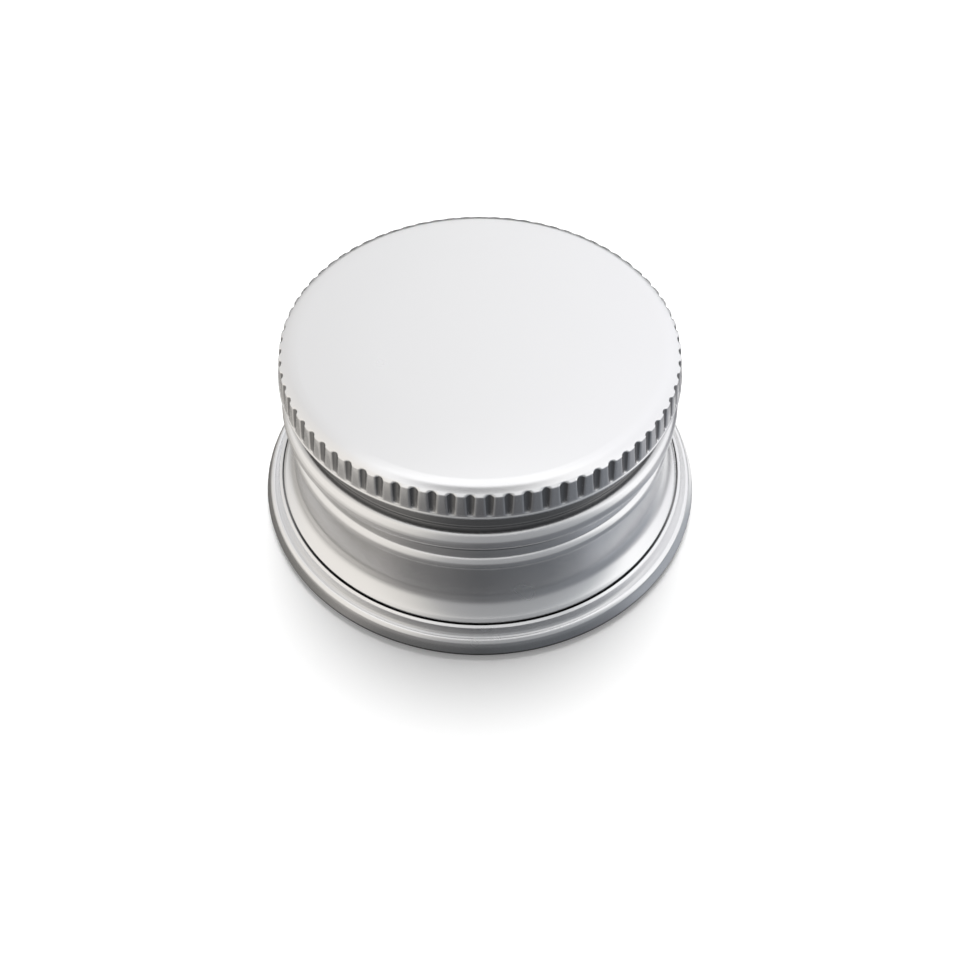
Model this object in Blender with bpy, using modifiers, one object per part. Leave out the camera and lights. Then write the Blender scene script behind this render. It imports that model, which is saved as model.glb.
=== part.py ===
"""Knurled aluminium screw cap.

One turned body with an inside thread, and the soft sealing disc that snaps in under its top.
Lengths are in metres and angles in degrees. +Z is up, the origin is the middle of the flat
underside, and the front is towards -Y.
"""

import math

import bmesh
import bpy
from mathutils import Matrix

MM = 0.001
TOUCH_GAP = 0.3 * MM  # left between pieces that touch

# Inside: the thread and the bore that take a stock 38 mm bottle neck
THREAD_ROOT_RADIUS = 19.0 * MM
THREAD_DEPTH = 0.9 * MM
THREAD_PITCH = 4.23 * MM
THREAD_TURNS = 2.25
THREAD_CREST_WIDTH = 0.8 * MM
THREAD_FLANK = 30  # slope of each side of the ridge
THREAD_START = 3.6 * MM  # height of the middle of its lower end
THREAD_RUNOUT = 50  # turn over which it fades in, and out again
THREAD_ROOTING = 0.3 * MM  # how deep the ridge is set in the wall
MOUTH_CHAMFER = 0.7 * MM
BORE_STEP = 0.65 * MM  # how much the bore narrows above the thread

# Sealing disc and its seat
LINER_THICKNESS = 0.9 * MM
LINER_EDGE_ROUND = 0.15 * MM  # of its upper edge
LINER_FLAT_INSET = 0.05 * MM  # from the ridge below it in to its flat underside
LINER_SEAT_DEPTH = 0.35 * MM  # how far its seat is cut into the bore
LINER_RETAINER = 0.3 * MM  # height of the ridge that holds it in

# Walls, from the thread root or the bore outwards
TOP_THICKNESS = 1.0 * MM
NECK_WALL = 1.15 * MM
STRIP_WALL = 1.05 * MM

# Flange and the cut line inside it
FLANGE_WIDTH = 4.05 * MM  # from the skirt to the widest point
FLANGE_ROUND = 1.0 * MM
FLANGE_HEIGHT = 2.46 * MM
FLANGE_DIP = 0.16 * MM
FLANGE_DIP_WIDTH = 0.3 * MM
FLANGE_HOLLOW = 0.16 * MM  # how far its inner slope sags below a straight line
CUT_LINE_WIDTH = 0.22 * MM
CUT_LINE_DEPTH = 0.8 * MM
CUT_LINE_STEP = 0.18 * MM  # how much lower the cut's outer side is

# Flared foot, skirt and the rings above it
FLARE_FOOT_HEIGHT = 3.52 * MM
FLARE_RADIUS = 3.0 * MM
FLARE_SWEEP = 68
SKIRT_LENGTH = 4.35 * MM
SKIRT_STANDOUT = 0.4 * MM  # beyond the strip above it
COLLAR_HEIGHT = 1.25 * MM
COLLAR_STANDOUT = 0.12 * MM  # beyond the skirt
COLLAR_ROUND = 0.7 * MM
COLLAR_SHOULDER = 75  # where its round meets the crease above
STRIP_HEIGHT = 1.5 * MM
CREASE_DEPTH = 0.15 * MM
BEAD_ROUND = 1.09 * MM
BEAD_STANDOUT = 0.77 * MM  # beyond the strip
BEAD_UNDERCUT = 70  # how far its round runs on below its widest point
NECK_LENGTH = 2.67 * MM
NECK_FILLET = 0.3 * MM

# Knurled band, top edge and crown
KNURL_STANDOUT = 1.0 * MM  # of its foot, beyond the neck
KNURL_HEIGHT = 2.22 * MM
KNURL_TAPER = 0.28 * MM  # how much smaller its radius is at the top
LIP_STANDOUT = 0.1 * MM
LIP_ROUND = 0.16 * MM
LIP_SHOULDER = 40  # where its round meets the knurled band
EDGE_ROUND = 0.2 * MM
EDGE_START = 56  # where the crown runs into the round
CROWN_ROUND = 3.1 * MM  # from the flat panel down to the top edge
FLUTE_COUNT = 74
FLUTE_ROUND = 0.47 * MM
FLUTE_DEPTH = 0.3 * MM  # at the top of the band
FLUTE_FOOT_DEPTH = 0.15 * MM
FLUTE_STOP = 0.06 * MM  # plain rib left between each flute and the lip

# How finely round forms are drawn
FLARE_STEPS = 4
BEAD_STEPS = 5
SMALL_STEPS = 2
FLUTE_SIDES = 10
THREAD_STEPS = FLUTE_COUNT // 2  # in each turn
SHARP_ANGLE = 32

# Radii that follow
BORE_RADIUS = THREAD_ROOT_RADIUS - BORE_STEP
SEAT_RADIUS = BORE_RADIUS + LINER_SEAT_DEPTH
STRIP_RADIUS = THREAD_ROOT_RADIUS + STRIP_WALL
NECK_RADIUS = BORE_RADIUS + NECK_WALL
KNURL_RADIUS = NECK_RADIUS + KNURL_STANDOUT
FLUTE_LEAN = math.atan2(KNURL_TAPER + FLUTE_DEPTH - FLUTE_FOOT_DEPTH, KNURL_HEIGHT)
EDGE_CENTRE_RADIUS = KNURL_RADIUS - KNURL_TAPER - EDGE_ROUND
PANEL_RADIUS = EDGE_CENTRE_RADIUS - (CROWN_ROUND - EDGE_ROUND) * math.cos(math.radians(EDGE_START))
LIP_RADIUS = KNURL_RADIUS + LIP_STANDOUT
SKIRT_RADIUS = STRIP_RADIUS + SKIRT_STANDOUT
COLLAR_RADIUS = SKIRT_RADIUS + COLLAR_STANDOUT
BEAD_CENTRE_RADIUS = STRIP_RADIUS + BEAD_STANDOUT - BEAD_ROUND
FLANGE_RADIUS = SKIRT_RADIUS + FLANGE_WIDTH

# Heights that follow, from the base up
SKIRT_FOOT = FLARE_FOOT_HEIGHT + FLARE_RADIUS * math.sin(math.radians(FLARE_SWEEP))
COLLAR_FOOT = SKIRT_FOOT + SKIRT_LENGTH
STRIP_FOOT = COLLAR_FOOT + COLLAR_HEIGHT
BEAD_MIDDLE = STRIP_FOOT + STRIP_HEIGHT + BEAD_ROUND * math.sin(math.radians(BEAD_UNDERCUT))
NECK_FOOT = BEAD_MIDDLE + math.sqrt(BEAD_ROUND**2 - (NECK_RADIUS - BEAD_CENTRE_RADIUS) ** 2)
LIP_MIDDLE = NECK_FOOT + NECK_LENGTH + NECK_FILLET + LIP_ROUND
KNURL_FOOT = LIP_MIDDLE + LIP_ROUND
EDGE_MIDDLE = KNURL_FOOT + KNURL_HEIGHT
TOP = EDGE_MIDDLE + CROWN_ROUND - (CROWN_ROUND - EDGE_ROUND) * math.sin(math.radians(EDGE_START))
CEILING = TOP - TOP_THICKNESS
LINER_TOP = CEILING - TOUCH_GAP
LINER_FOOT = LINER_TOP - LINER_THICKNESS
SEAT_FOOT = LINER_FOOT - TOUCH_GAP


def arc(radius, height, rounding, start, end, steps):
    """Points round a centre at (radius, height), with angles counted up from straight outwards."""
    points = []
    for step in range(steps + 1):
        angle = math.radians(start + (end - start) * step / steps)
        points.append((radius + rounding * math.cos(angle), height + rounding * math.sin(angle)))
    return points


def top_and_neck():
    """From the flat panel, over the crown and the knurled band, down to the foot of the neck."""
    neck_top = NECK_FOOT + NECK_LENGTH
    lip_centre = LIP_RADIUS - LIP_ROUND
    points = [(0, TOP)]
    points += arc(PANEL_RADIUS, TOP - CROWN_ROUND, CROWN_ROUND, 90, EDGE_START, SMALL_STEPS)[:-1]
    points += arc(EDGE_CENTRE_RADIUS, EDGE_MIDDLE, EDGE_ROUND, EDGE_START, 0, SMALL_STEPS)
    points.append((KNURL_RADIUS, KNURL_FOOT))
    points += arc(lip_centre, LIP_MIDDLE, LIP_ROUND, LIP_SHOULDER, -90, SMALL_STEPS)
    points += arc(NECK_RADIUS + NECK_FILLET, neck_top, NECK_FILLET, 90, 180, 1)
    return points


def bead_and_strip():
    """The bead below the neck, and the plain strip between two creases."""
    crease = STRIP_RADIUS - CREASE_DEPTH
    strip_top = STRIP_FOOT + STRIP_HEIGHT
    joint = math.degrees(math.atan2(NECK_FOOT - BEAD_MIDDLE, NECK_RADIUS - BEAD_CENTRE_RADIUS))
    points = arc(BEAD_CENTRE_RADIUS, BEAD_MIDDLE, BEAD_ROUND, joint, -BEAD_UNDERCUT, BEAD_STEPS)
    points += [(crease, strip_top - CREASE_DEPTH / 2), (STRIP_RADIUS, strip_top - CREASE_DEPTH)]
    points += [(STRIP_RADIUS, STRIP_FOOT + CREASE_DEPTH), (crease, STRIP_FOOT + CREASE_DEPTH / 2)]
    return points


def collar_and_skirt():
    """The round-shouldered collar, the plain skirt, and the flare down to the cut line."""
    collar_centre = COLLAR_RADIUS - COLLAR_ROUND
    shoulder = STRIP_FOOT - COLLAR_ROUND
    points = arc(collar_centre, shoulder, COLLAR_ROUND, COLLAR_SHOULDER, 0, SMALL_STEPS)
    points += [(COLLAR_RADIUS, COLLAR_FOOT + COLLAR_STANDOUT), (SKIRT_RADIUS, COLLAR_FOOT)]
    flare_centre = SKIRT_RADIUS + FLARE_RADIUS
    points += arc(flare_centre, SKIRT_FOOT, FLARE_RADIUS, 180, 180 + FLARE_SWEEP, FLARE_STEPS)
    return points


def cut_line_and_flange():
    """The narrow cut at the foot of the flare, and the flange outside it down to the flat base."""
    inner = SKIRT_RADIUS + FLARE_RADIUS * (1 - math.cos(math.radians(FLARE_SWEEP)))
    outer = inner + CUT_LINE_WIDTH
    bottom = FLARE_FOOT_HEIGHT - CUT_LINE_DEPTH
    round_centre = FLANGE_RADIUS - FLANGE_ROUND
    dip = (round_centre - FLANGE_DIP_WIDTH, FLANGE_HEIGHT - FLANGE_DIP)
    edge = (outer, FLARE_FOOT_HEIGHT - CUT_LINE_STEP)
    hollow = ((edge[0] + dip[0]) / 2, (edge[1] + dip[1]) / 2 - FLANGE_HOLLOW)
    points = [(inner, bottom), (outer, bottom), edge, hollow, dip]
    points += arc(round_centre, FLANGE_HEIGHT - FLANGE_ROUND, FLANGE_ROUND, 90, 0, SMALL_STEPS + 1)
    points += arc(round_centre, FLANGE_ROUND, FLANGE_ROUND, 0, -90, SMALL_STEPS)
    return points


def inside():
    """From the mouth up the bore, past the ridge that holds the liner, to the middle of the ceiling."""
    root, bore = THREAD_ROOT_RADIUS, BORE_RADIUS
    return [
        (root + MOUTH_CHAMFER, 0),
        (root, MOUTH_CHAMFER),
        (root, BEAD_MIDDLE),
        (bore, BEAD_MIDDLE + BORE_STEP),
        (bore, SEAT_FOOT - 2 * LINER_RETAINER),
        (bore - LINER_RETAINER, SEAT_FOOT - LINER_RETAINER),
        (SEAT_RADIUS, SEAT_FOOT),
        (SEAT_RADIUS, CEILING),
        (0, CEILING),
    ]


def object_from(bm, name, collection):
    mesh = bpy.data.meshes.new(name)
    bm.to_mesh(mesh)
    bm.free()
    obj = bpy.data.objects.new(name, mesh)
    collection.objects.link(obj)
    return obj


def turned(name, profile, collection):
    """An object made by turning a profile of (radius, height) points round Z, one step per flute."""
    bm = bmesh.new()
    corners = [bm.verts.new((radius, 0, height)) for radius, height in profile]
    for first, second in zip(corners, corners[1:]):
        bm.edges.new((first, second))
    obj = object_from(bm, name, collection)
    screw = obj.modifiers.new("Turn", "SCREW")
    screw.steps = screw.render_steps = FLUTE_COUNT
    screw.use_merge_vertices = True
    screw.merge_threshold = 0.001 * MM
    screw.use_smooth_shade = True
    return obj


def flute_cutters(collection):
    """Round cutters in a ring, which lean in so that each flute is deepest where it leaves the crown."""
    foot = KNURL_FOOT + FLUTE_STOP
    length = (TOP + FLUTE_ROUND - foot) / math.cos(FLUTE_LEAN)
    stand = Matrix.Translation((KNURL_RADIUS - FLUTE_FOOT_DEPTH, 0, foot))
    stand @= Matrix.Rotation(-FLUTE_LEAN, 4, "Y") @ Matrix.Translation((FLUTE_ROUND, 0, length / 2))
    bm = bmesh.new()
    for index in range(FLUTE_COUNT):
        turn = Matrix.Rotation(math.tau * index / FLUTE_COUNT, 4, "Z")
        bmesh.ops.create_cone(
            bm,
            cap_ends=True,
            segments=FLUTE_SIDES,
            radius1=FLUTE_ROUND,
            radius2=FLUTE_ROUND,
            depth=length,
            matrix=turn @ stand,
        )
    return as_cutter(object_from(bm, "flute_cutters", collection))


def thread_section(turn, fade):
    """Four corners of the ridge at an angle along the helix, sunk in the wall where fade is 0."""
    base = THREAD_ROOT_RADIUS + THREAD_ROOTING
    crest = base - THREAD_ROOTING / 2 - fade * (THREAD_DEPTH + THREAD_ROOTING / 2)
    middle = THREAD_START + THREAD_PITCH * turn / math.tau
    half_crest = THREAD_CREST_WIDTH / 2
    half_base = half_crest + (base - crest) * math.tan(math.radians(THREAD_FLANK))
    outline = [(base, -half_base), (base, half_base), (crest, half_crest), (crest, -half_crest)]
    cos, sin = math.cos(turn), math.sin(turn)
    return [(radius * cos, radius * sin, middle + rise) for radius, rise in outline]


def thread_ridge(collection):
    """The inside thread: a ridge lofted along its helix, which fades into the wall at both ends."""
    whole_turn = math.tau * THREAD_TURNS
    runout = math.radians(THREAD_RUNOUT)
    steps = round(THREAD_TURNS * THREAD_STEPS)
    bm = bmesh.new()
    rings = []
    for step in range(steps + 1):
        turn = whole_turn * step / steps
        fade = min(1, turn / runout, (whole_turn - turn) / runout)
        rings.append([bm.verts.new(corner) for corner in thread_section(turn, fade)])
    for ring, following in zip(rings, rings[1:]):
        for side in range(4):
            beside = (side + 1) % 4
            bm.faces.new((ring[side], ring[beside], following[beside], following[side]))
    bm.faces.new(rings[0])
    bm.faces.new(rings[-1])
    bmesh.ops.recalc_face_normals(bm, faces=bm.faces)
    return as_cutter(object_from(bm, "thread_ridge", collection))


def as_cutter(obj):
    obj.hide_render = True
    obj.display_type = "WIRE"
    return obj


def add_boolean(obj, name, other, operation):
    boolean = obj.modifiers.new(name, "BOOLEAN")
    boolean.operation = operation
    boolean.object = other


def smooth_by_angle():
    """A node group that shades smooth, with every edge sharper than SHARP_ANGLE left crisp."""
    group = bpy.data.node_groups.new("Smooth by angle", "GeometryNodeTree")
    group.interface.new_socket("Geometry", in_out="INPUT", socket_type="NodeSocketGeometry")
    group.interface.new_socket("Geometry", in_out="OUTPUT", socket_type="NodeSocketGeometry")
    entry = group.nodes.new("NodeGroupInput")
    angle = group.nodes.new("GeometryNodeInputMeshEdgeAngle")
    below = group.nodes.new("FunctionNodeCompare")
    below.operation = "LESS_THAN"
    below.inputs["B"].default_value = math.radians(SHARP_ANGLE)
    smooth = group.nodes.new("GeometryNodeSetShadeSmooth")
    smooth.domain = "EDGE"
    leave = group.nodes.new("NodeGroupOutput")
    group.links.new(angle.outputs["Unsigned Angle"], below.inputs["A"])
    group.links.new(below.outputs["Result"], smooth.inputs["Shade Smooth"])
    group.links.new(entry.outputs["Geometry"], smooth.inputs["Geometry"])
    group.links.new(smooth.outputs["Geometry"], leave.inputs["Geometry"])
    return group


def material(name, colour, roughness, metallic):
    made = bpy.data.materials.new(name)
    made.use_nodes = True
    shader = made.node_tree.nodes["Principled BSDF"]
    shader.inputs["Base Color"].default_value = (*colour, 1)
    shader.inputs["Roughness"].default_value = roughness
    shader.inputs["Metallic"].default_value = metallic
    return made


def cap_body(parts, cutters, shading):
    profile = top_and_neck() + bead_and_strip() + collar_and_skirt() + cut_line_and_flange() + inside()
    body = turned("cap_body", profile, parts)
    add_boolean(body, "Inside thread", thread_ridge(cutters), "UNION")
    add_boolean(body, "Flutes", flute_cutters(cutters), "DIFFERENCE")
    body.modifiers.new("Shading", "NODES").node_group = shading
    body.data.materials.append(material("Turned aluminium", (0.83, 0.83, 0.84), 0.25, 1))
    return body


def sealing_liner(parts, shading):
    """The foam disc, clear of its seat and ceiling, with its underside flat inside the ridge below it."""
    edge = SEAT_RADIUS - TOUCH_GAP
    flat = BORE_RADIUS - LINER_RETAINER - LINER_FLAT_INSET
    profile = [(0, LINER_TOP)]
    profile += arc(edge - LINER_EDGE_ROUND, LINER_TOP - LINER_EDGE_ROUND, LINER_EDGE_ROUND, 90, 0, 1)
    profile += arc(flat, LINER_FOOT + edge - flat, edge - flat, 0, -90, 1)
    profile.append((0, LINER_FOOT))
    liner = turned("sealing_liner", profile, parts)
    liner.modifiers.new("Shading", "NODES").node_group = shading
    liner.data.materials.append(material("White foam", (0.86, 0.86, 0.84), 0.7, 0))
    return liner


def main():
    for obj in list(bpy.data.objects):
        bpy.data.objects.remove(obj, do_unlink=True)
    parts = bpy.data.collections.new("screw_cap")
    cutters = bpy.data.collections.new("cutters")
    for collection in (parts, cutters):
        bpy.context.scene.collection.children.link(collection)
    shading = smooth_by_angle()
    cap_body(parts, cutters, shading)
    sealing_liner(parts, shading)


main()
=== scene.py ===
"""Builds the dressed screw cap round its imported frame, and the small studio that it is seen in."""

import math

import bmesh
import bpy
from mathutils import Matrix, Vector


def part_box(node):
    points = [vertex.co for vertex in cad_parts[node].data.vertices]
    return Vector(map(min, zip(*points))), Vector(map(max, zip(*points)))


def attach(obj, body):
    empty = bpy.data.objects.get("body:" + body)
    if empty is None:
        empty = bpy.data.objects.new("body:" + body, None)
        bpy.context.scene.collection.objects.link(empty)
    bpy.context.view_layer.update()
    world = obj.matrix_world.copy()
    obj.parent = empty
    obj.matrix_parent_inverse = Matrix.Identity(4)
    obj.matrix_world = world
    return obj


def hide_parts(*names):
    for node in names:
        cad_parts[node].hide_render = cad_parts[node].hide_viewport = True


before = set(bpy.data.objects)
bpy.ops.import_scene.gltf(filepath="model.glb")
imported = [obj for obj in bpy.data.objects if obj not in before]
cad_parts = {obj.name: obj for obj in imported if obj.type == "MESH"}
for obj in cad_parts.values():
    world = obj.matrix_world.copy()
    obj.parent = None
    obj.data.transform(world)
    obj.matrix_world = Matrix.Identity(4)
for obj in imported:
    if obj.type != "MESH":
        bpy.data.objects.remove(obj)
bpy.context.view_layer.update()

bl_info = {
    "name": "Knurled screw cap",
    "version": (1, 0, 0),
    "blender": (4, 5, 0),
    "location": "View3D > Sidebar > Screw Cap",
    "description": "Models a turned aluminium screw cap, its sealing disc and a small studio",
    "category": "Add Mesh",
}

MM = 0.001
BODY_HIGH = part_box("cap_body")[1]
LINER_LOW, LINER_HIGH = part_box("sealing_liner")
BODY = "root"

# Top: the flat panel, the crown round it, and the chamfer that ends in the rounded edge
PANEL_RADIUS = 18.398 * MM
PANEL_EDGE = 0.08 * MM
MIDDLE_RING = 10 * MM
CHAMFER_START = 19.84 * MM
CHAMFER_LEAN = 27
EDGE_RADIUS = 20.08 * MM
EDGE_ROUND = 0.08 * MM
EDGE_LEAD = 15
EXIT_PASSES = 8

# How far the crown lies under the panel at each radius
CROWN = [
    (PANEL_RADIUS, 0),
    (PANEL_RADIUS + PANEL_EDGE, 0.016 * MM),
    (18.8 * MM, 0.054 * MM),
    (19.1 * MM, 0.096 * MM),
    (19.25 * MM, 0.126 * MM),
    (19.4 * MM, 0.166 * MM),
    (CHAMFER_START, 0.326 * MM),
]

# Knurled band and its flutes
KNURL_RADIUS = 20.5 * MM
KNURL_FOOT = 18.78 * MM
KNURL_LEAN = 7.2
KNURL_RINGS = (20.5 * MM, 19.8 * MM)
FLUTE_COUNT = 74
FLUTE_ROUND = 0.55 * MM
FLUTE_FOOT = 18.84 * MM
FLUTE_FOOT_RADIUS = 20.3 * MM
FLUTE_LEAN = 9.8
FLUTE_ENDS = 0.2 * MM
COLUMNS = 12

# Lip, neck and bead
LIP_RADIUS = 20.6 * MM
LIP_ROUND = 0.16 * MM
LIP_HEIGHT = 18.62 * MM
LIP_START = 45
NECK_RADIUS = 19.5 * MM
NECK_TOP = 18.16 * MM
NECK_STEP_HEIGHT = 16.1 * MM
NECK_STEP = 0.05 * MM
NECK_FILLET = 0.3 * MM
BEAD_RADIUS = 19.62 * MM
BEAD_HEIGHT = 14.5 * MM
BEAD_ROUND = 1.2 * MM
BEAD_END = -70

# Strip between the groove and the crease, and the collar under it
STRIP_RADIUS = 20.05 * MM
STRIP_TOP = 13.4 * MM
STRIP_FOOT = 11.62 * MM
CREASE_DEPTH = 0.15 * MM
GROOVE_DEPTH = 0.4 * MM
GROOVE_WIDTH = 0.5 * MM
COLLAR_RADIUS = 20.57 * MM
COLLAR_ROUND = 0.9 * MM
COLLAR_START = 75
COLLAR_FOOT = 0.22 * MM
COLLAR_BREAK = (0.03 * MM, 0.1 * MM)

# Skirt, flare and the black cut
SKIRT_RADIUS = 20.45 * MM
SKIRT_TOP = 10.25 * MM
SKIRT_TAPER = 0.2 * MM
SKIRT_HOLLOW = 0.03 * MM
FLARE_LEAN = 7
FLARE_ROUND = 3.0 * MM
FLARE_MIDDLE = 6.3 * MM
FLARE_SWEEP = 67
CUT_WIDTH = 0.26 * MM
CUT_DEPTH = 0.8 * MM
CUT_STEP = 0.18 * MM
EDGE_BREAK = 0.06 * MM

# Flange
FLANGE_ROUND = 1.0 * MM
FLANGE_WALL_FOOT = 1.15 * MM
FLANGE_CREST = 2.46 * MM
FLANGE_CREST_ROUND = 0.35 * MM
FLANGE_CREST_RADIUS = 23.55 * MM
FLANGE_CREST_ARC = (100, 68)
FLANGE_DIP = 0.16 * MM
FLANGE_DIP_WIDTH = 0.3 * MM
FLANGE_HOLLOW = 0.1 * MM
FACET = (0.26 * MM, 0.125 * MM)

# Inside: mouth, bore and the seat of the sealing disc
ROOT_RADIUS = 19.0 * MM
BORE_RADIUS = 18.35 * MM
SEAT_RADIUS = 18.7 * MM
MOUTH_CHAMFER = 0.7 * MM
RETAINER = 0.3 * MM
SEAT_FOOT = 19.197 * MM
TOP_THICKNESS = 1.0 * MM

# Inside thread
THREAD_PITCH = 4.23 * MM
THREAD_TURNS = 2.25
THREAD_STEPS = 120
THREAD_START = 3.6 * MM
THREAD_DEPTH = 0.9 * MM
THREAD_CREST = 0.8 * MM
THREAD_FLANK = 30
THREAD_ROOTING = 0.3 * MM
THREAD_SOFTNESS = 0.15 * MM
THREAD_RUNOUT = 50

# Sealing disc
LINER_RING = 9 * MM
LINER_ROUND = 0.15 * MM
LINER_LEAD = 0.4 * MM
LINER_STEPS = 148

# Meshing
WELD = 0.001 * MM
ANGLE_SLACK = 1e-4
SMOOTH_ANGLE = 40

# Finish
METAL = "Turned aluminium, satin polished"
MARKS_PER_MM = 6
MARK_DEPTH = 0.02 * MM
MARK_STRENGTH = 0.04
HAZE_PATCHES_PER_M = 140
HAZE_SPREAD = 0.12
# Painted shade: the metal's colour is darkened in its flutes, neck, cut and groove, and a little on its
# ribs
PAINTED_SHADE_COLOUR = 0.3
PAINTED_SHADE_ON_RIBS = 0.25
FOAM_CELL = 0.5 * MM
FOAM_CELL_DEPTH = 0.05 * MM
FOAM_PATCH = 5 * MM

# Studio
FLOOR_SIZE = 4
FLOOR_DROP = 0.02 * MM
FLOOR_GLOW = 0.1
FLOOR_FADE = (150 * MM, 300 * MM)
WORLD_LIGHT = 0.36
LAMP_PLACE = (20 * MM, 220 * MM, 500 * MM)
LAMP_SIZE = 420 * MM
LAMP_POWER = 3.6
TENT_RADIUS = 500 * MM
CARD_STEPS = 96
DOME_STEPS = 10

# Upper ends of the tent's cards, in degrees up from the floor, and their strengths
SKIRTING_TOP = 9
WALL_TOP = 64
ROOF_TOP = 73
UPPER_ROOF_TOP = 79
WALL_STRENGTH = 1.25
ROOF_STRENGTH = 1.4
UPPER_ROOF_STRENGTH = 1.2

# The bowl of cards on the floor, as radii and heights from the flange's foot outwards
BOWL = [(radius * MM, height * MM) for radius, height in (
    (23.9, 0.03), (24.9, 0.12), (28.3, 0.5), (36, 1.5), (43, 2.06), (80, 5), (150, 13))]

# Tones round the cap, from 0 at the left by 0.25 in front and 0.5 at the right to 0.75 behind
FOOT_TONES = [(0.0, "#242424")]
NEAR_TONES = [
    (0.0, "#757370"), (0.08, "#7B7976"), (0.12, "#83817D"), (0.147, "#8C8986"), (0.18, "#6A6968"),
    (0.25, "#4C4D4F"), (0.32, "#606367"), (0.35, "#7A7D82"), (0.38, "#A5A9AF"), (0.46, "#B2B6BC"),
    (0.5, "#FFFFFF"), (0.62, "#FFFFFF"), (0.75, "#505052"), (0.88, "#74726F"), (1.0, "#757370"),
]
MIDDLE_TONES = [
    (0.0, "#C4C0BA"), (0.06, "#D8D4CE"), (0.12, "#C4C0BA"), (0.18, "#8A8886"), (0.25, "#666769"),
    (0.32, "#74777B"), (0.38, "#8C9096"), (0.45, "#A4A8AE"), (0.54, "#FFFFFF"), (0.64, "#F0F0F0"),
    (0.75, "#505052"), (0.88, "#8C8A88"), (1.0, "#C4C0BA"),
]
OUTER_TONES = [
    (0.0, "#959390"), (0.08, "#959390"), (0.13, "#8B8987"), (0.19, "#787777"), (0.25, "#5D5D5F"),
    (0.31, "#707276"), (0.4, "#888C92"), (0.48, "#C8C8CC"), (0.55, "#8C8C90"), (0.63, "#3C3C3E"),
    (0.75, "#161616"), (0.87, "#3C3C3C"), (0.94, "#8A8886"), (1.0, "#959390"),
]
LOW_TONES = [
    (0.0, "#E0DCD6"), (0.1, "#E0DCD6"), (0.16, "#BCB9B4"), (0.2, "#8C8C8C"), (0.25, "#666668"),
    (0.31, "#707276"), (0.4, "#888C92"), (0.48, "#C8C8CC"), (0.55, "#8C8C90"), (0.63, "#3C3C3E"),
    (0.75, "#161616"), (0.87, "#3C3C3C"), (0.94, "#C8C6C2"), (1.0, "#E0DCD6"),
]
FRONT_WALL_TONES = [
    (0.0, "#E4E0DA"), (0.1, "#E2DED8"), (0.16, "#CCC9C4"), (0.2, "#9A9A9A"), (0.25, "#8E8F90"),
    (0.35, "#949698"), (0.41, "#AAADB0"), (0.46, "#FFFFFF"), (0.56, "#EAEAEC"),
]
WALL_TONES = FRONT_WALL_TONES + [
    (0.65, "#F0F0F2"), (0.72, "#EAEAEB"), (0.75, "#E6E6E6"), (0.78, "#E0E0E0"), (0.87, "#D2D1D0"),
    (1.0, "#E4E0DA"),
]
SKIRTING_TONES = FRONT_WALL_TONES + [
    (0.66, "#303030"), (0.84, "#303030"), (0.93, "#D2D1D0"), (1.0, "#E4E0DA"),
]
ROOF_TONES = [
    (0.0, "#EEEEEE"), (0.16, "#EEEEEE"), (0.25, "#CFCFCF"), (0.34, "#EEEEEE"), (0.58, "#EEEEEE"),
    (0.66, "#FFFFFF"), (0.84, "#FFFFFF"), (0.92, "#EEEEEE"),
]
UPPER_ROOF_TONES = [
    (0.0, "#CECECE"), (0.25, "#DEDEDE"), (0.5, "#CECECE"), (0.58, "#FFFFFF"), (0.92, "#FFFFFF"),
    (1.0, "#CECECE"),
]
TOP_TONES = [(0.0, "#989899")]


def linear(code):
    """An sRGB hex colour as the linear RGBA that a shader takes."""
    channels = [int(code[place:place + 2], 16) / 255 for place in (1, 3, 5)]
    return [c / 12.92 if c <= 0.04045 else ((c + 0.055) / 1.055) ** 2.4 for c in channels] + [1]


def slope(degrees):
    return math.tan(math.radians(degrees))


def arc(radius, height, rounding, start, end, steps):
    """Points round a centre at (radius, height), with angles in degrees up from outwards."""
    turns = [math.radians(start + (end - start) * step / steps) for step in range(steps + 1)]
    return [(radius + rounding * math.cos(turn), height + rounding * math.sin(turn))
            for turn in turns]


def flute_columns():
    """Angles of the columns across one flute and the half ribs beside it."""
    pitch = math.tau / FLUTE_COUNT
    return [pitch * (step / COLUMNS - 0.5) for step in range(COLUMNS + 1)]


def flute_floor(angle):
    """How far out from a flute's deepest line its floor lies, or nothing beyond its walls."""
    across = abs(KNURL_RADIUS * math.sin(angle))
    if across >= FLUTE_ROUND:
        return None
    return FLUTE_ROUND - math.sqrt(FLUTE_ROUND**2 - across**2)


def crown_height(radius):
    """Height of the crown: it falls from the flat panel ever more steeply, to a narrow chamfer."""
    if radius >= CHAMFER_START:
        return BODY_HIGH.z - CROWN[-1][1] - (radius - CHAMFER_START) * slope(CHAMFER_LEAN)
    for (inner, above_it), (outer, below_it) in zip(CROWN, CROWN[1:]):
        if radius <= outer:
            share = (radius - inner) / (outer - inner)
            return BODY_HIGH.z - above_it - (below_it - above_it) * share


def flute_exit(floor, end):
    """Radius at which the leaning floor of a flute comes out through the crown."""
    at_foot = FLUTE_FOOT_RADIUS + floor / math.cos(math.radians(FLUTE_LEAN))
    radius = at_foot
    for _ in range(EXIT_PASSES):
        rise = crown_height(min(radius, end)) - FLUTE_FOOT
        radius = at_foot - rise * slope(FLUTE_LEAN)
    return radius


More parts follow.
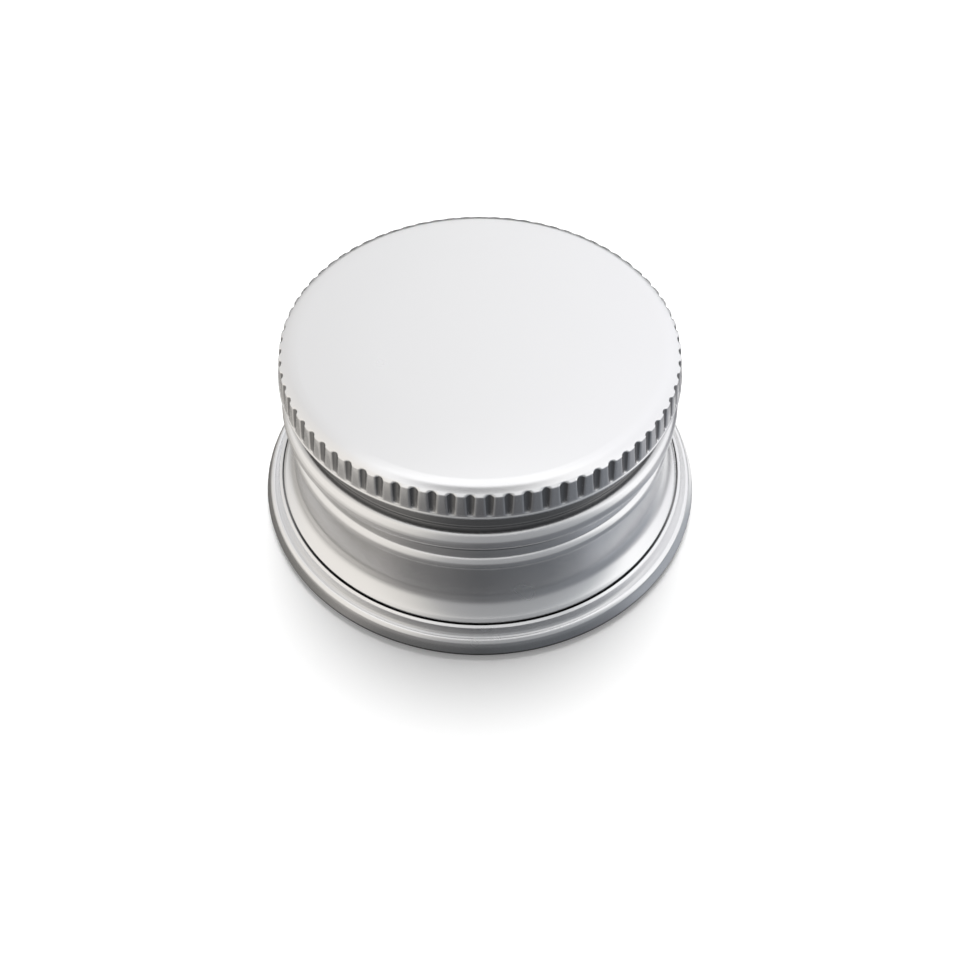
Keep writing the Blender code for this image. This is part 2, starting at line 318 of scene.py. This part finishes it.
def top_edge():
    """The crown, with a point wherever a flute comes out through it, and the edge's round."""
    steep = math.radians(90 - CHAMFER_LEAN)
    end = EDGE_RADIUS + EDGE_ROUND * math.cos(steep)
    middle = crown_height(end) - EDGE_ROUND * math.sin(steep)
    floors = [flute_floor(angle) for angle in flute_columns()[COLUMNS // 2:]]
    exits = [flute_exit(floor, end) for floor in floors if floor is not None]
    radii = [radius for radius, _ in CROWN[1:]] + [radius for radius in exits if radius < end]
    points = [(radius, crown_height(radius)) for radius in sorted(radii) + [end]]
    start = 90 - CHAMFER_LEAN - EDGE_LEAD
    return points + arc(EDGE_RADIUS, middle, EDGE_ROUND, start, KNURL_LEAN, steps=2)


def band_outline():
    """The ribs' outer line down the leaning band, and the lip and the neck's fillet under it."""
    heights = [*KNURL_RINGS, FLUTE_FOOT + FLUTE_ENDS, FLUTE_FOOT, KNURL_FOOT]
    points = [(KNURL_RADIUS - (height - KNURL_FOOT) * slope(KNURL_LEAN), height)
              for height in heights]
    points += arc(LIP_RADIUS - LIP_ROUND, LIP_HEIGHT, LIP_ROUND, LIP_START, -90, steps=5)
    return points + arc(NECK_RADIUS + NECK_FILLET, NECK_TOP, NECK_FILLET, 90, 180, steps=2)


def middle_outline():
    """The faint step on the neck, the bead, the strip between groove and crease, and the collar."""
    neck_joint = math.degrees(math.acos((NECK_RADIUS - BEAD_RADIUS) / BEAD_ROUND))
    groove = STRIP_RADIUS - GROOVE_DEPTH
    return [
        (NECK_RADIUS, NECK_STEP_HEIGHT + NECK_STEP),
        (NECK_RADIUS + NECK_STEP, NECK_STEP_HEIGHT),
        (NECK_RADIUS + NECK_STEP, NECK_STEP_HEIGHT - 2 * NECK_STEP),
        (NECK_RADIUS, NECK_STEP_HEIGHT - 4 * NECK_STEP),
        *arc(BEAD_RADIUS, BEAD_HEIGHT, BEAD_ROUND, neck_joint, BEAD_END, steps=12),
        (groove, STRIP_TOP),
        (groove, STRIP_TOP - GROOVE_WIDTH),
        (STRIP_RADIUS, STRIP_TOP - GROOVE_WIDTH),
        (STRIP_RADIUS, STRIP_FOOT + CREASE_DEPTH),
        (STRIP_RADIUS - CREASE_DEPTH, STRIP_FOOT + CREASE_DEPTH / 2),
        *arc(COLLAR_RADIUS - COLLAR_ROUND, STRIP_FOOT - COLLAR_ROUND, COLLAR_ROUND,
             COLLAR_START, 0, steps=6),
        (COLLAR_RADIUS, SKIRT_TOP + COLLAR_FOOT),
        (COLLAR_RADIUS - COLLAR_BREAK[0], SKIRT_TOP + COLLAR_FOOT - COLLAR_BREAK[1]),
        (SKIRT_RADIUS - SKIRT_TAPER, SKIRT_TOP),
    ]


def flange_outline():
    """The hollow skirt, the flare, the cut under its edge, and the flange down to its foot."""
    flare_centre = SKIRT_RADIUS + FLARE_ROUND
    sweep = math.radians(FLARE_SWEEP)
    cut_top = FLARE_MIDDLE - FLARE_ROUND * math.sin(sweep)
    cut_inner = flare_centre - FLARE_ROUND * math.cos(sweep)
    cut_outer = cut_inner + CUT_WIDTH
    edge = (cut_outer + EDGE_BREAK / 2, cut_top - CUT_STEP)
    dip = (FLANGE_CREST_RADIUS - FLANGE_DIP_WIDTH, FLANGE_CREST - FLANGE_DIP)
    hollow = ((edge[0] + dip[0]) / 2, (edge[1] + dip[1]) / 2 - FLANGE_HOLLOW)
    crest = arc(FLANGE_CREST_RADIUS, FLANGE_CREST - FLANGE_CREST_ROUND, FLANGE_CREST_ROUND,
                *FLANGE_CREST_ARC, steps=3)
    facet = (crest[-1][0] + FACET[0], crest[-1][1] - FACET[1])
    foot = BODY_HIGH.x - FLANGE_ROUND
    return [
        (SKIRT_RADIUS - SKIRT_TAPER / 2 - SKIRT_HOLLOW, (SKIRT_TOP + FLARE_MIDDLE) / 2),
        *arc(flare_centre, FLARE_MIDDLE, FLARE_ROUND, 180 + FLARE_LEAN, 180 + FLARE_SWEEP,
             steps=9),
        (cut_inner + EDGE_BREAK / 2, cut_top - EDGE_BREAK),
        (cut_inner + EDGE_BREAK / 2, cut_top - CUT_DEPTH),
        (cut_outer - EDGE_BREAK / 2, cut_top - CUT_DEPTH),
        (cut_outer - EDGE_BREAK / 2, edge[1] - EDGE_BREAK),
        edge,
        (edge[0] + FACET[0], edge[1] - FACET[1]),
        hollow,
        dip,
        *crest,
        facet,
        (facet[0] + FACET[1], facet[1] - FACET[0]),
        (BODY_HIGH.x, FLANGE_WALL_FOOT),
        *arc(foot, FLANGE_ROUND, FLANGE_ROUND, 0, -90, steps=5),
    ]


def inside_outline():
    """Up the inside: the mouth's chamfer, the threaded wall, the bore, the snap ring and seat."""
    ceiling = BODY_HIGH.z - TOP_THICKNESS
    return [
        (ROOT_RADIUS + MOUTH_CHAMFER, 0),
        (ROOT_RADIUS, MOUTH_CHAMFER),
        (ROOT_RADIUS, BEAD_HEIGHT),
        (BORE_RADIUS, BEAD_HEIGHT + ROOT_RADIUS - BORE_RADIUS),
        (BORE_RADIUS, SEAT_FOOT - 2 * RETAINER),
        (BORE_RADIUS - RETAINER, SEAT_FOOT - RETAINER),
        (SEAT_RADIUS, SEAT_FOOT),
        (SEAT_RADIUS, ceiling),
        (MIDDLE_RING, ceiling),
        (0, ceiling),
    ]


def body_outline():
    """The turned outline from the middle of the top, down the outside, and up to the ceiling."""
    panel = [(radius, BODY_HIGH.z) for radius in (0, MIDDLE_RING, PANEL_RADIUS - PANEL_EDGE)]
    return (panel + top_edge() + band_outline() + middle_outline() + flange_outline()
            + inside_outline())


def thread_ring(turn):
    """The ridge's section at one turn: rooted in the wall, its soft crest fading at the ends."""
    runout = math.radians(THREAD_RUNOUT)
    fade = min(1, turn / runout, (math.tau * THREAD_TURNS - turn) / runout)
    fade = fade * fade * (3 - 2 * fade)
    base = ROOT_RADIUS + THREAD_ROOTING
    crest = base - THREAD_ROOTING / 2 - fade * (THREAD_DEPTH + THREAD_ROOTING / 2)
    middle = THREAD_START + THREAD_PITCH * turn / math.tau
    half = THREAD_CREST / 2
    flank = slope(THREAD_FLANK)
    wide = half + (base - crest) * flank
    soft = min(THREAD_SOFTNESS, (base - crest) / 3)
    section = [
        (base, -wide), (base, wide),
        (crest + soft, half + soft * flank), (crest, half - soft),
        (crest, soft - half), (crest + soft, -half - soft * flank),
    ]
    return [(r * math.cos(turn), r * math.sin(turn), middle + rise) for r, rise in section]


def deselect_all():
    for obj in bpy.context.selected_objects:
        obj.select_set(False)


def draw_outline(name, points):
    """Extrudes a small plane, merged to one vertex, along (radius, height) points in XZ."""
    deselect_all()
    bpy.ops.mesh.primitive_plane_add(size=MM, location=(0, 0, 0))
    made = bpy.context.object
    made.name = made.data.name = name
    bpy.ops.object.mode_set(mode="EDIT")
    bpy.ops.mesh.select_mode(type="VERT")
    bpy.ops.mesh.select_all(action="SELECT")
    bpy.ops.mesh.merge(type="CENTER")
    bpy.ops.transform.translate(value=(points[0][0], 0, points[0][1]))
    for (radius, height), (next_radius, next_height) in zip(points, points[1:]):
        step = (next_radius - radius, 0, next_height - height)
        bpy.ops.mesh.extrude_region_move(TRANSFORM_OT_translate={"value": step})
    return made


def spin(turn, steps, copies=False):
    """Spins the selection round Z. The operator counts its angle the other way round."""
    bpy.ops.mesh.spin(steps=steps, angle=-turn, dupli=copies, center=(0, 0, 0), axis=(0, 0, 1))


def select_where(obj, test):
    """Selects the vertices whose place passes the test, and says how many there are."""
    mesh = bmesh.from_edit_mesh(obj.data)
    count = 0
    for vertex in mesh.verts:
        vertex.select = bool(test(vertex.co))
        count += vertex.select
    mesh.select_flush_mode()
    bmesh.update_edit_mesh(obj.data)
    return count


def close_and_shade():
    """Welds the seams, turns the faces out, and shades all but the sharp edges smooth."""
    bpy.ops.mesh.select_all(action="SELECT")
    bpy.ops.mesh.remove_doubles(threshold=WELD)
    bpy.ops.mesh.normals_make_consistent(inside=False)
    bpy.ops.object.mode_set(mode="OBJECT")
    bpy.ops.object.shade_smooth_by_angle(angle=math.radians(SMOOTH_ANGLE))


def dress(obj, material, node):
    """Gives a finished piece its material and its body, and hides the imported part that it stands for.
    """
    obj.data.materials.append(material)
    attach(obj, BODY)
    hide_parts(node)


def press_flute(obj, angle, floor):
    """Flattens the part of one column that stands proud of the flute's leaning floor."""
    lean = math.radians(FLUTE_LEAN)
    foot = Vector((FLUTE_FOOT_RADIUS, 0, FLUTE_FOOT))
    outward = Vector((math.cos(lean), 0, math.sin(lean)))

    def proud(co):
        on_column = abs(math.atan2(co.y, co.x) - angle) < ANGLE_SLACK
        over_foot = co.z > FLUTE_FOOT + FLUTE_ENDS / 2
        return on_column and over_foot and (co - foot).dot(outward) > floor + WELD

    if select_where(obj, proud):
        upright = {"orient_axis": "Y", "center_override": foot}
        bpy.ops.transform.rotate(value=-lean, **upright)
        bpy.ops.transform.resize(value=(0, 1, 1), center_override=(foot.x + floor, 0, 0))
        bpy.ops.transform.rotate(value=lean, **upright)


def body_sector(name):
    """One flute and two half ribs: the outline spun in even steps, each pressed in to the flute."""
    columns = flute_columns()
    obj = draw_outline(name, body_outline())
    bpy.ops.object.mode_set(mode="OBJECT")
    obj.rotation_euler.z = columns[0]
    bpy.ops.object.transform_apply(location=False, rotation=True, scale=False)
    bpy.ops.object.mode_set(mode="EDIT")
    bpy.ops.mesh.select_all(action="SELECT")
    spin(columns[-1] - columns[0], COLUMNS)
    for angle in columns:
        floor = flute_floor(angle)
        if floor is not None:
            press_flute(obj, angle, floor)
    bpy.ops.mesh.select_all(action="SELECT")
    return obj


def add_node(tree, kind, links=(), **settings):
    """Adds a node, sets its properties and inputs, and links (socket, from node, from output)."""
    node = tree.nodes.new(kind)
    inputs = settings.pop("inputs", {})
    for name, value in settings.items():
        setattr(node, name, value)
    for name, value in inputs.items():
        node.inputs[name].default_value = value
    for socket, other, output in links:
        tree.links.new(other.outputs[output], node.inputs[socket])
    return node


def new_material(name):
    made = bpy.data.materials.new(name)
    made.use_nodes = True
    tree = made.node_tree
    return made, tree, tree.nodes["Principled BSDF"]


def turned_coordinates(tree, place):
    """Distance from the axis and height in millimetres, so that patterns run round as marks do."""
    parts = add_node(tree, "ShaderNodeSeparateXYZ", [("Vector", place, "Object")])
    flat = add_node(tree, "ShaderNodeCombineXYZ", [("X", parts, "X"), ("Y", parts, "Y")])
    radius = add_node(tree, "ShaderNodeVectorMath", [(0, flat, "Vector")], operation="LENGTH")
    ring = add_node(tree, "ShaderNodeCombineXYZ", [("X", radius, "Value"), ("Z", parts, "Z")])
    return add_node(tree, "ShaderNodeVectorMath", [(0, ring, "Vector")], operation="SCALE",
                    inputs={"Scale": 1 / MM})


def ring_walls(inner, outer, low, high, edge=0.04):
    """Ramps that bound a ring of the body, in millimetres."""
    return (
        ((1, 0, 0), inner, inner + edge), ((1, 0, 0), outer, outer - edge),
        ((0, 0, 1), low, low + edge), ((0, 0, 1), high, high - edge),
    )


def painted_shade_places():
    """Each place painted darker as shade in the recesses: its share, and ramps along directions, in
    millimetres.
    """
    off_ribs, off_chamfer = (1, 0, slope(KNURL_LEAN)), (slope(CHAMFER_LEAN), 0, 1)
    ribs = (KNURL_RADIUS + KNURL_FOOT * slope(KNURL_LEAN)) / MM
    chamfer = (crown_height(CHAMFER_START) + CHAMFER_START * slope(CHAMFER_LEAN)) / MM
    bead_top = BEAD_HEIGHT / MM + 1
    under_ribs = (off_ribs, ribs - 0.03, ribs - 0.14)
    under_chamfer = (off_chamfer, chamfer - 0.04, chamfer - 0.16)
    outside_crown = ((1, 0, 0), 19.76, 19.8)
    over_bead = ((0, 0, 1), bead_top, bead_top + 0.3)
    flutes = (under_chamfer, outside_crown, under_ribs, over_bead)
    neck = (((0, 0, 1), 18.6, 18.4), ((1, 0, 0), 19.2, 19.3), under_ribs, over_bead)
    band = (under_chamfer, outside_crown, ((0, 0, 1), 18.9, 19.1))
    cut = ring_walls(22.25, 22.56, 0.9, 3.25)
    groove = ring_walls(19.4, 20.03, 12.86, 13.4)
    return (1, flutes), (1, neck), (PAINTED_SHADE_ON_RIBS, band), (1, cut), (1, groove)


def painted_shade_share(tree, rings):
    """How much painted shade darkens the metal: the largest share of the places, with soft edges.

    Each ramp of a place rises to what the ramp before it gave, so that a place ends at them all.
    """
    total = None
    for share, ramps in painted_shade_places():
        inside = None
        for direction, start, end in ramps:
            along = add_node(tree, "ShaderNodeVectorMath", [(0, rings, "Vector")],
                             operation="DOT_PRODUCT", inputs={1: direction})
            links = [("Value", along, "Value")]
            if inside is not None:
                links.append(("To Max", inside, "Result"))
            inside = add_node(tree, "ShaderNodeMapRange", links,
                              inputs={"From Min": start, "From Max": end, "To Max": share})
        links = [(0, inside, "Result")]
        if total is not None:
            links.append((1, total, "Value"))
        total = add_node(tree, "ShaderNodeMath", links, operation="MAXIMUM", inputs={1: 0})
    return total


def aluminium_material(colour, roughness):
    """Turned aluminium, satin polished: bright grey metal with soft reflections and faint marks.

    The tool's marks run round it. The flutes, the neck, the cut and the groove are painted darker, as
    painted shade in these recesses, and the ribs a little darker, also as painted shade.
    """
    made, tree, shader = new_material(METAL)
    place = add_node(tree, "ShaderNodeTexCoord")
    rings = turned_coordinates(tree, place)
    marks = add_node(tree, "ShaderNodeTexNoise", [("Vector", rings, "Vector")],
                     inputs={"Scale": MARKS_PER_MM, "Detail": 3, "Roughness": 0.6})
    haze = add_node(tree, "ShaderNodeTexNoise", [("Vector", place, "Object")],
                    inputs={"Scale": HAZE_PATCHES_PER_M, "Detail": 3})
    rough = add_node(tree, "ShaderNodeMapRange", [("Value", haze, "Fac")],
                     inputs={"To Min": roughness * (1 - HAZE_SPREAD),
                             "To Max": roughness * (1 + HAZE_SPREAD)})
    bump = add_node(tree, "ShaderNodeBump", [("Height", marks, "Fac")],
                    inputs={"Strength": MARK_STRENGTH, "Distance": MARK_DEPTH})
    # Painted shade: the base colour darkens in the recesses and on the ribs
    shade_colour = [channel * PAINTED_SHADE_COLOUR for channel in colour[:3]] + [1]
    tone = add_node(tree, "ShaderNodeMix", [(0, painted_shade_share(tree, rings), 0)], data_type="RGBA",
                    inputs={6: colour, 7: shade_colour})
    tree.links.new(tone.outputs[2], shader.inputs["Base Color"])
    shader.inputs["Metallic"].default_value = 1
    tree.links.new(rough.outputs["Result"], shader.inputs["Roughness"])
    tree.links.new(bump.outputs["Normal"], shader.inputs["Normal"])
    return made


def foam_material(colour):
    """Foamed polyethylene sheet, skinned and die-cut: matt white with a fine closed-cell dimple."""
    made, tree, shader = new_material("Foamed polyethylene sheet, die-cut")
    place = add_node(tree, "ShaderNodeTexCoord")
    cells = add_node(tree, "ShaderNodeTexVoronoi", [("Vector", place, "Object")],
                     feature="SMOOTH_F1", inputs={"Scale": 1 / FOAM_CELL, "Smoothness": 1})
    haze = add_node(tree, "ShaderNodeTexNoise", [("Vector", place, "Object")],
                    inputs={"Scale": 1 / FOAM_PATCH, "Detail": 2})
    rough = add_node(tree, "ShaderNodeMapRange", [("Value", haze, "Fac")],
                     inputs={"To Min": 0.55, "To Max": 0.7})
    bump = add_node(tree, "ShaderNodeBump", [("Height", cells, "Distance")],
                    inputs={"Strength": 0.25, "Distance": FOAM_CELL_DEPTH})
    shader.inputs["Base Color"].default_value = colour
    tree.links.new(rough.outputs["Result"], shader.inputs["Roughness"])
    tree.links.new(bump.outputs["Normal"], shader.inputs["Normal"])
    return made


def glow_material(name, tones, strength):
    """A studio card's plain glow, which a ramp of tones grades round the cap."""
    made = bpy.data.materials.new(name)
    made.use_nodes = True
    tree = made.node_tree
    tree.nodes.clear()
    place = add_node(tree, "ShaderNodeTexCoord")
    grade = add_node(tree, "ShaderNodeTexGradient", [("Vector", place, "Object")],
                     gradient_type="RADIAL")
    ramp = add_node(tree, "ShaderNodeValToRGB", [("Fac", grade, "Fac")])
    elements = ramp.color_ramp.elements
    while len(elements) > 1:
        elements.remove(elements[-1])
    for index, (position, code) in enumerate(tones):
        element = elements[0] if index == 0 else elements.new(position)
        element.position = position
        element.color = linear(code)
    glow = add_node(tree, "ShaderNodeEmission", [("Color", ramp, "Color")],
                    inputs={"Strength": strength})
    add_node(tree, "ShaderNodeOutputMaterial", [("Surface", glow, "Emission")])
    return made


def seen_share(tree):
    """1 for what the camera, the metal's reflections and clear things see, and 0 for light."""
    path = add_node(tree, "ShaderNodeLightPath")
    seen = add_node(tree, "ShaderNodeMath",
                    [(0, path, "Is Camera Ray"), (1, path, "Is Glossy Ray")], operation="ADD")
    return add_node(tree, "ShaderNodeMath", [(0, seen, 0), (1, path, "Is Transmission Ray")],
                    operation="ADD", use_clamp=True)


def white_world():
    """White behind the cap and in its reflections, and a level studio light on all else."""
    world = bpy.data.worlds.new("White studio")
    bpy.context.scene.world = world
    world.use_nodes = True
    tree = world.node_tree
    back = tree.nodes["Background"]
    level = add_node(tree, "ShaderNodeMapRange", [("Value", seen_share(tree), 0)],
                     inputs={"To Min": WORLD_LIGHT, "To Max": 1})
    back.inputs["Color"].default_value = (1, 1, 1, 1)
    tree.links.new(level.outputs["Result"], back.inputs["Strength"])


def floor_material():
    """Matt white card that takes the cap's shadow and fades into the white away from it."""
    made, tree, shader = new_material("Matt white card")
    shader.inputs["Base Color"].default_value = linear("#F4F4F4")
    shader.inputs["Roughness"].default_value = 1
    shader.inputs["Specular IOR Level"].default_value = 0
    place = add_node(tree, "ShaderNodeTexCoord")
    away = add_node(tree, "ShaderNodeVectorMath", [(0, place, "Object")], operation="LENGTH")
    white = add_node(tree, "ShaderNodeMapRange", [("Value", away, "Value")],
                     inputs={"From Min": FLOOR_FADE[0], "From Max": FLOOR_FADE[1],
                             "To Min": FLOOR_GLOW, "To Max": 1})
    level = add_node(tree, "ShaderNodeMath", [(0, seen_share(tree), 0), (1, white, 0)],
                     operation="MULTIPLY")
    glow = add_node(tree, "ShaderNodeEmission", [("Strength", level, 0)])
    both = add_node(tree, "ShaderNodeAddShader", [(0, shader, "BSDF"), (1, glow, "Emission")])
    tree.links.new(both.outputs["Shader"], tree.nodes["Material Output"].inputs["Surface"])
    return made


def dome(start, end):
    """A part of the tent's dome, between two angles up from the floor."""
    return arc(0, 0, TENT_RADIUS, start, end, DOME_STEPS)


def card(name, label, outline, tones, strength=1):
    """A round card that only shows in reflections: an outline spun round the cap."""
    obj = draw_outline(name, outline)
    bpy.ops.mesh.select_all(action="SELECT")
    spin(math.tau, CARD_STEPS)
    bpy.ops.mesh.select_all(action="SELECT")
    bpy.ops.mesh.remove_doubles(threshold=WELD)
    bpy.ops.object.mode_set(mode="OBJECT")
    obj.data.materials.append(glow_material(label, tones, strength))
    obj.visible_camera = obj.visible_diffuse = obj.visible_shadow = False
    obj.visible_transmission = obj.visible_volume_scatter = False


def light_tent():
    """A round tent of cards: dark low down in front, cream on the left and white on the right."""
    card("foot_card", "Dark foot card", BOWL[0:2], FOOT_TONES)
    card("near_floor_card", "Near floor card", BOWL[1:3], NEAR_TONES)
    card("middle_floor_card", "Middle floor card", BOWL[2:4], MIDDLE_TONES)
    card("outer_floor_card", "Outer floor card", BOWL[3:5], OUTER_TONES)
    card("low_bowl_card", "Low bowl card", BOWL[4:], LOW_TONES)
    card("tent_wall_card", "Tent wall card", dome(SKIRTING_TOP, WALL_TOP), WALL_TONES,
         WALL_STRENGTH)
    card("tent_skirting_card", "Tent skirting card", dome(0, SKIRTING_TOP), SKIRTING_TONES,
         WALL_STRENGTH)
    card("tent_roof_card", "Tent roof card", dome(WALL_TOP, ROOF_TOP), ROOF_TONES, ROOF_STRENGTH)
    card("tent_upper_roof_card", "Tent upper roof card", dome(ROOF_TOP, UPPER_ROOF_TOP),
         UPPER_ROOF_TONES, UPPER_ROOF_STRENGTH)
    card("tent_top_card", "Tent top card", dome(UPPER_ROOF_TOP, 90), TOP_TONES)


def overhead_softbox():
    """A large round lamp over the back of the floor, aimed at the cap, for its soft shadow."""
    light = bpy.data.lights.new("overhead_softbox", "AREA")
    light.shape = "DISK"
    light.size = LAMP_SIZE
    light.energy = LAMP_POWER
    obj = bpy.data.objects.new("overhead_softbox", light)
    bpy.context.scene.collection.objects.link(obj)
    obj.location = LAMP_PLACE
    obj.rotation_euler = (-Vector(LAMP_PLACE)).to_track_quat("-Z", "Y").to_euler()
    obj.visible_glossy = False


class CapLooks(bpy.types.PropertyGroup):
    metal: bpy.props.FloatVectorProperty(
        name="Metal", description="Colour of the bare aluminium", subtype="COLOR",
        size=4, min=0, max=1, default=linear("#EDEDEE"))
    roughness: bpy.props.FloatProperty(
        name="Satin", description="How soft the metal's reflections are", subtype="FACTOR",
        min=0, max=1, default=0.26)
    foam: bpy.props.FloatVectorProperty(
        name="Foam", description="Colour of the sealing disc", subtype="COLOR",
        size=4, min=0, max=1, default=linear("#EDEDE8"))


class StudioSizes(bpy.types.PropertyGroup):
    # The camera was fitted to the photo's ellipses, with its place in shares of the knurl's radius
    focal: bpy.props.FloatProperty(
        name="Focal length", description="Lens of the camera, on a 36 mm wide sensor",
        unit="CAMERA", default=37.5)
    pitch: bpy.props.FloatProperty(
        name="Pitch", description="How far the camera looks down", unit="ROTATION",
        default=math.radians(51.29))
    back: bpy.props.FloatProperty(
        name="Distance back", description="Level distance from the cap's axis to the camera",
        unit="LENGTH", default=3.613 * KNURL_RADIUS)
    height: bpy.props.FloatProperty(
        name="Height", description="Height of the camera above the floor", unit="LENGTH",
        default=4.440 * KNURL_RADIUS)


class SCREWCAP_OT_body(bpy.types.Operator):
    """Model the turned and knurled body"""

    bl_idname = "screwcap.body"
    bl_label = "Cap body"

    def execute(self, context):
        looks = context.scene.cap_looks
        obj = body_sector("turned_body")
        pitch = math.tau / FLUTE_COUNT
        spin(pitch * (FLUTE_COUNT - 1), FLUTE_COUNT - 1, copies=True)
        close_and_shade()
        dress(obj, aluminium_material(looks.metal, looks.roughness), "cap_body")
        return {"FINISHED"}


class SCREWCAP_OT_thread(bpy.types.Operator):
    """Model the inside thread as a ridge that fades into the wall at both ends"""

    bl_idname = "screwcap.thread"
    bl_label = "Inside thread"

    def execute(self, context):
        steps = round(THREAD_TURNS * THREAD_STEPS)
        whole = math.tau * THREAD_TURNS
        mesh = bpy.data.meshes.new("inside_thread")

        # A spin or screw keeps its section whole all the way, so the fading ridge is built ring by ring
        build = bmesh.new()
        rings = [[build.verts.new(point) for point in thread_ring(whole * step / steps)]
                 for step in range(steps + 1)]
        for ring, following in zip(rings, rings[1:]):
            for side, vertex in enumerate(ring):
                beside = (side + 1) % len(ring)
                build.faces.new((vertex, ring[beside], following[beside], following[side]))
        build.faces.new(rings[0])
        build.faces.new(rings[-1])
        build.to_mesh(mesh)
        build.free()

        obj = bpy.data.objects.new("inside_thread", mesh)
        context.scene.collection.objects.link(obj)
        deselect_all()
        obj.select_set(True)
        context.view_layer.objects.active = obj
        bpy.ops.object.mode_set(mode="EDIT")
        close_and_shade()
        dress(obj, bpy.data.materials[METAL], "cap_body")
        return {"FINISHED"}


class SCREWCAP_OT_liner(bpy.types.Operator):
    """Model the foam sealing disc"""

    bl_idname = "screwcap.liner"
    bl_label = "Sealing disc"

    def execute(self, context):
        edge, top, foot = LINER_HIGH.x, LINER_HIGH.z, LINER_LOW.z
        points = [(0, top), (LINER_RING, top)]
        points += arc(edge - LINER_ROUND, top - LINER_ROUND, LINER_ROUND, 90, 0, 3)
        points += arc(edge - LINER_LEAD, foot + LINER_LEAD, LINER_LEAD, 0, -90, 5)
        points += [(LINER_RING, foot), (0, foot)]
        obj = draw_outline("foam_disc", points)
        bpy.ops.mesh.select_all(action="SELECT")
        spin(math.tau, LINER_STEPS)
        close_and_shade()
        dress(obj, foam_material(context.scene.cap_looks.foam), "sealing_liner")
        return {"FINISHED"}


class SCREWCAP_OT_studio(bpy.types.Operator):
    """Set out the floor, the light, the cards that the metal mirrors, and the camera"""

    bl_idname = "screwcap.studio"
    bl_label = "Studio"

    def execute(self, context):
        scene = context.scene
        sizes = scene.studio_sizes
        scene.view_settings.view_transform = "Standard"
        white_world()
        deselect_all()
        bpy.ops.mesh.primitive_plane_add(size=FLOOR_SIZE, location=(0, 0, -FLOOR_DROP))
        floor = context.object
        floor.name = "floor"
        floor.data.materials.append(floor_material())
        overhead_softbox()
        light_tent()

        camera = bpy.data.objects.new("camera", bpy.data.cameras.new("camera"))
        scene.collection.objects.link(camera)
        camera.data.lens = sizes.focal
        camera.data.clip_start = MM
        camera.location = (0, -sizes.back, sizes.height)
        camera.rotation_euler = (math.pi / 2 - sizes.pitch, 0, 0)
        scene.camera = camera
        return {"FINISHED"}


class SCREWCAP_PT_panel(bpy.types.Panel):
    bl_label = "Screw Cap"
    bl_idname = "SCREWCAP_PT_panel"
    bl_space_type = "VIEW_3D"
    bl_region_type = "UI"
    bl_category = "Screw Cap"

    def draw(self, context):
        looks = context.scene.cap_looks
        for name in ("metal", "roughness", "foam"):
            self.layout.prop(looks, name)
        sizes = context.scene.studio_sizes
        for name in ("focal", "pitch", "back", "height"):
            self.layout.prop(sizes, name)
        for step in STEPS:
            self.layout.operator(step.bl_idname)


STEPS = (SCREWCAP_OT_body, SCREWCAP_OT_thread, SCREWCAP_OT_liner, SCREWCAP_OT_studio)
CLASSES = (CapLooks, StudioSizes, *STEPS, SCREWCAP_PT_panel)


def register():
    for cls in CLASSES:
        bpy.utils.register_class(cls)
    bpy.types.Scene.cap_looks = bpy.props.PointerProperty(type=CapLooks)
    bpy.types.Scene.studio_sizes = bpy.props.PointerProperty(type=StudioSizes)


def unregister():
    del bpy.types.Scene.studio_sizes
    del bpy.types.Scene.cap_looks
    for cls in reversed(CLASSES):
        bpy.utils.unregister_class(cls)


def main():
    register()
    bpy.ops.screwcap.body()
    bpy.ops.screwcap.thread()
    bpy.ops.screwcap.liner()
    bpy.ops.screwcap.studio()


if __name__ == "__main__":
    main()
